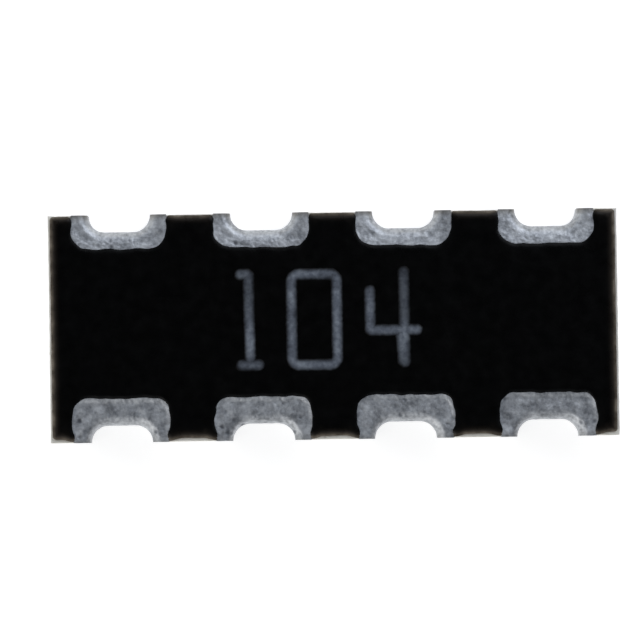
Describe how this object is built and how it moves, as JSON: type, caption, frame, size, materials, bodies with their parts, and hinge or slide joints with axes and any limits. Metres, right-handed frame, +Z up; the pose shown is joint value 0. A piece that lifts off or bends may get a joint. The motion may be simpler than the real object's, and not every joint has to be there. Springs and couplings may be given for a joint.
{
  "type": "chip resistor network",
  "caption": "Flat surface-mount chip resistor network: black-coated alumina slab with plated half-round notch terminals along both long edges.",
  "frame": {"origin": "centre of the chip's outline, on the plane of its solder lands", "axes": "+X along the rows of terminals, +Y across them, +Z up out of the black face"},
  "size_m": [0.005, 0.002, 0.0006],
  "materials": {
    "alumina": "as-fired white alumina with snapped edges",
    "silver_film": "fired silver-palladium thick film",
    "resistor_film": "fired ruthenium oxide thick film",
    "glass_film": "fired glass coat",
    "black_resin": "screen-printed and cured black resin",
    "nickel": "plated nickel",
    "tin": "matte plated tin"
  },
  "bodies": {
    "root": {"substrate": "alumina", "electrode_1": "silver_film", "electrode_2": "silver_film", "electrode_3": "silver_film", "electrode_4": "silver_film", "electrode_5": "silver_film", "electrode_6": "silver_film", "electrode_7": "silver_film", "electrode_8": "silver_film", "resistor_1": "resistor_film", "resistor_2": "resistor_film", "resistor_3": "resistor_film", "resistor_4": "resistor_film", "glass_coat_1": "glass_film", "glass_coat_2": "glass_film", "glass_coat_3": "glass_film", "glass_coat_4": "glass_film", "overcoat": "black_resin", "nickel_barrier_1": "nickel", "nickel_barrier_2": "nickel", "nickel_barrier_3": "nickel", "nickel_barrier_4": "nickel", "nickel_barrier_5": "nickel", "nickel_barrier_6": "nickel", "nickel_barrier_7": "nickel", "nickel_barrier_8": "nickel", "terminal_1": "tin", "terminal_2": "tin", "terminal_3": "tin", "terminal_4": "tin", "terminal_5": "tin", "terminal_6": "tin", "terminal_7": "tin", "terminal_8": "tin"}
  },
  "joints": []
}
